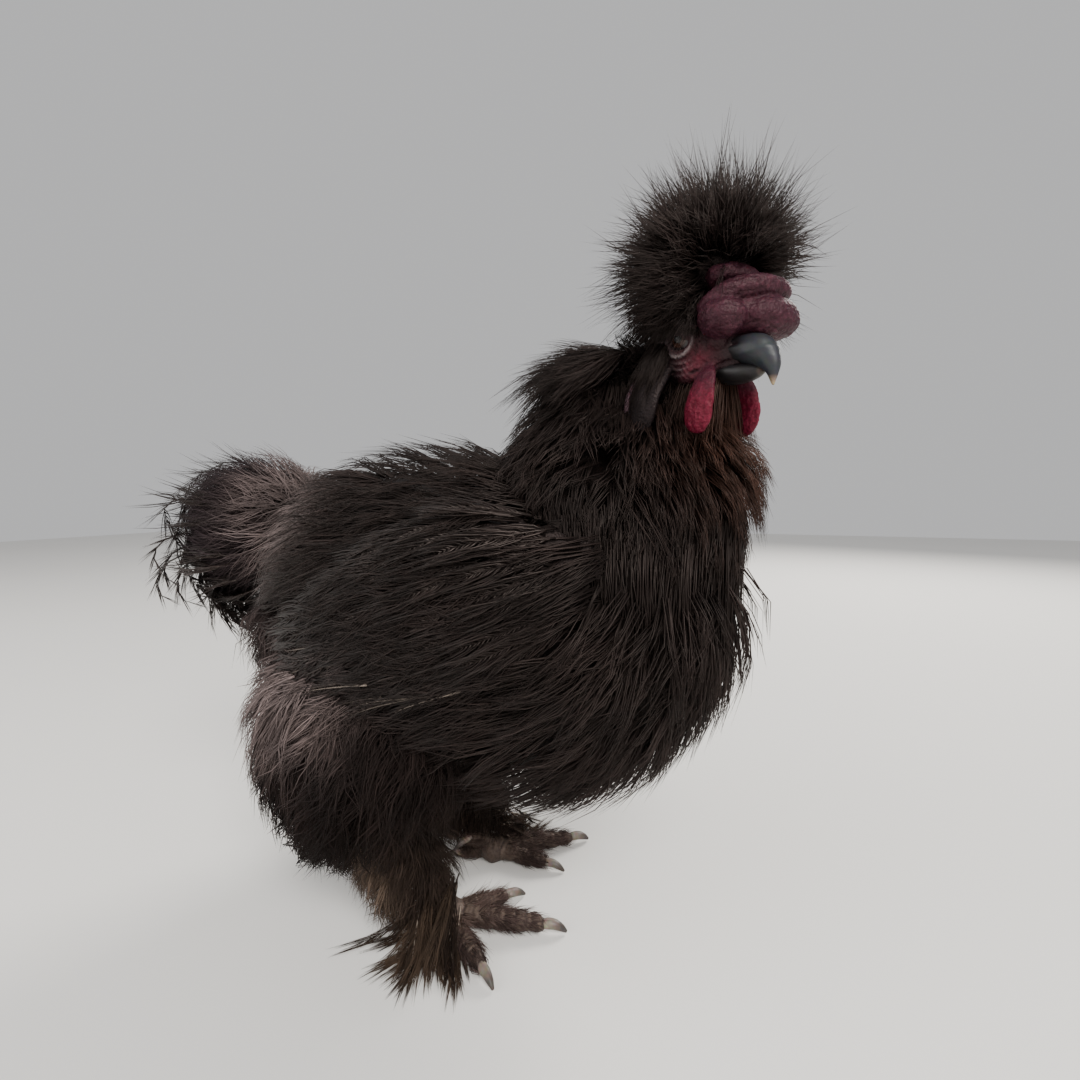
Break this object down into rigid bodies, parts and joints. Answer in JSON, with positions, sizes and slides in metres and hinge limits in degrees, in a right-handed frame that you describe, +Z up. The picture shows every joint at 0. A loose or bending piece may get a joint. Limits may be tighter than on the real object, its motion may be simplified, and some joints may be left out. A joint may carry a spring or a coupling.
{
  "type": "silkie chicken model",
  "caption": "Life-size dark silkie cock standing with its head turned to its right, with round crest, walnut comb, wattles, fluffy plumage, curled tail and feathered feet.",
  "frame": {"origin": "on the floor, under the middle of the bird's bounding box", "axes": "+X towards the breast, +Y to the bird's own left, +Z up"},
  "size_m": [0.3514, 0.1616, 0.3417],
  "materials": {
    "plumage": "silky brown-black locks",
    "flight": "soft black vanes with a slight gloss",
    "fluff": "matt grey-brown fluff",
    "skin": "wrinkled, purplish black skin",
    "comb": "bumpy, dark mulberry flesh",
    "wattle": "soft crimson flesh",
    "lobe": "soft black flesh with a mauve rim",
    "horn": "satin blue-black horn, paler at the tip",
    "eye": "wet, nearly black",
    "shank": "scaly grey-brown skin",
    "claw": "dark horn"
  },
  "bodies": {
    "root": {"eye_right": "eye", "eye_left": "eye", "bill_upper": "horn", "bill_lower": "horn", "head": "skin", "comb": "comb", "wattle_right": "wattle", "wattle_left": "wattle", "lobe_right": "lobe", "lobe_left": "lobe", "torso": "plumage", "crest": "plumage", "neck": "plumage", "wing_right": "flight", "wing_left": "flight", "thigh_right": "fluff", "thigh_left": "fluff", "tail": "flight", "foot_right": "shank", "foot_left": "shank", "shank_right": "shank", "shank_left": "shank", "claw_inner_right": "claw", "claw_middle_right": "claw", "claw_outer_right": "claw", "claw_hind_right": "claw", "claw_fifth_right": "claw", "claw_inner_left": "claw", "claw_middle_left": "claw", "claw_outer_left": "claw", "claw_hind_left": "claw", "claw_fifth_left": "claw"}
  },
  "joints": []
}
